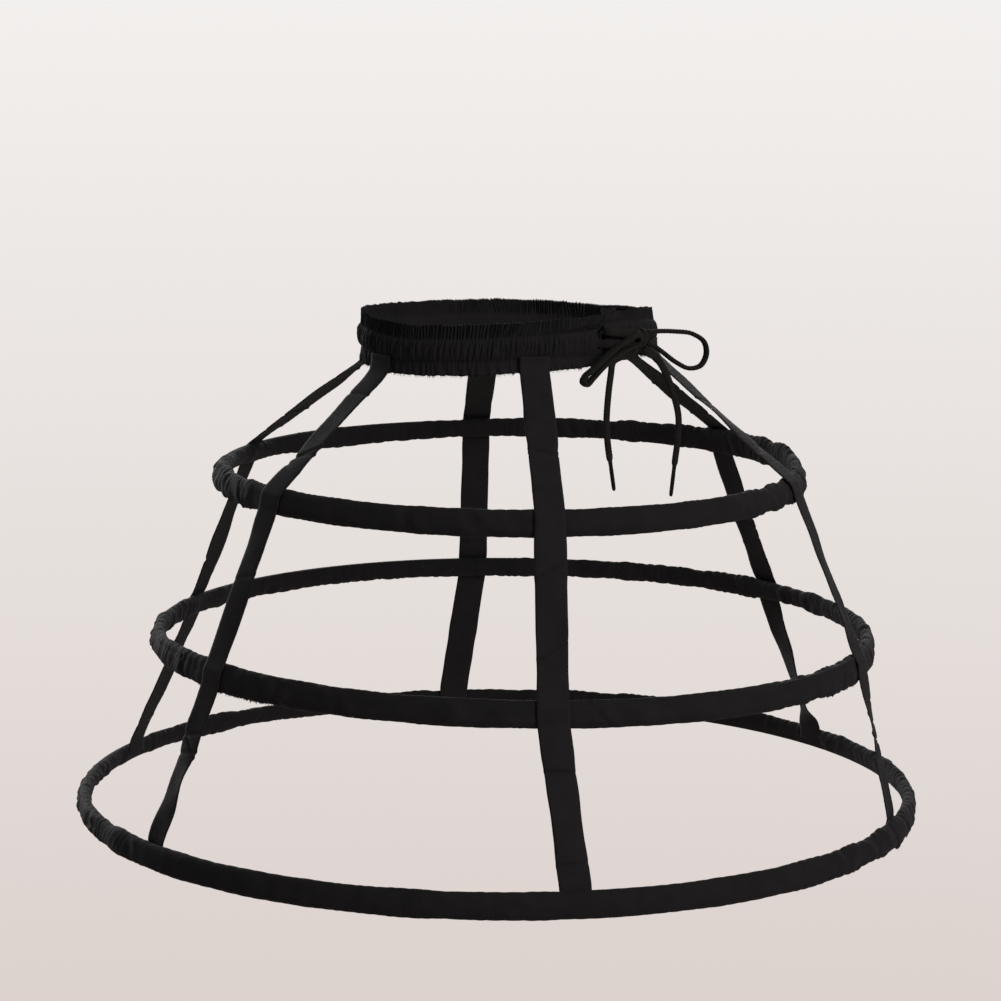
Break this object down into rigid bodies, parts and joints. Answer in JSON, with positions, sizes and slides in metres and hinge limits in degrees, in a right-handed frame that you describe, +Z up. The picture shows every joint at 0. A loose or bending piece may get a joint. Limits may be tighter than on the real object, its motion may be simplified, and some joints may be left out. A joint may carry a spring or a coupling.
{
  "type": "crinoline cage",
  "caption": "Crinoline cage: steel hoops in puckered black cotton casings, hung on tapes from a gathered drawstring waistband, worn to hold out a skirt.",
  "frame": {"origin": "middle of the waist opening, at the level of the drawstring", "axes": "+Z up along the wearer's body, -Y towards the wearer's front, +X towards the wearer's left"},
  "size_m": [0.6171, 0.6171, 0.3786],
  "materials": {
    "casing_cotton": "matt",
    "tape_cotton": "matt",
    "braid_cord": "satin",
    "aglet_plastic": "satin",
    "hoop_steel": "satin",
    "ferrule_brass": "satin"
  },
  "bodies": {
    "root": {"waistband": "casing_cotton", "drawstring_run": "braid_cord", "bow_knot": "braid_cord", "bow_loop_left": "braid_cord", "bow_loop_right": "braid_cord", "tail_left": "braid_cord", "tail_right": "braid_cord", "aglet_left": "aglet_plastic", "aglet_right": "aglet_plastic", "casing_top": "casing_cotton", "casing_middle": "casing_cotton", "casing_bottom": "casing_cotton", "steel_top": "hoop_steel", "steel_middle": "hoop_steel", "steel_bottom": "hoop_steel", "ferrule_top": "ferrule_brass", "ferrule_middle": "ferrule_brass", "ferrule_bottom": "ferrule_brass", "tape_right_front": "tape_cotton", "tape_left_front": "tape_cotton", "tape_left_side": "tape_cotton", "tape_left_back": "tape_cotton", "tape_right_back": "tape_cotton", "tape_right_side": "tape_cotton"}
  },
  "joints": []
}
